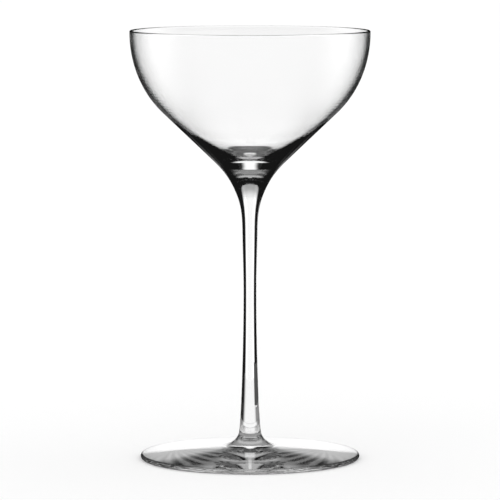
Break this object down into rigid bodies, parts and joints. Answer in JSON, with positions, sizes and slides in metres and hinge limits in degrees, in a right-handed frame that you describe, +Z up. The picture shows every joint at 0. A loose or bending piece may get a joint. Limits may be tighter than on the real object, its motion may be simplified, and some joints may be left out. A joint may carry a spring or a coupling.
{
  "type": "stemmed cocktail glass",
  "caption": "Clear stemmed cocktail glass with a wide shallow bowl, a thick solid base, a slim waisted stem and a round foot.",
  "frame": {"origin": "middle of the ring that the foot stands on, on the glass's axis", "axes": "+Z up along the glass's axis, -Y towards the viewer of the picture; the glass is the same all round"},
  "size_m": [0.095, 0.095, 0.17],
  "materials": {
    "clear_glass": "polished"
  },
  "bodies": {
    "root": {"bowl": "clear_glass", "stem": "clear_glass", "foot": "clear_glass"}
  },
  "joints": []
}
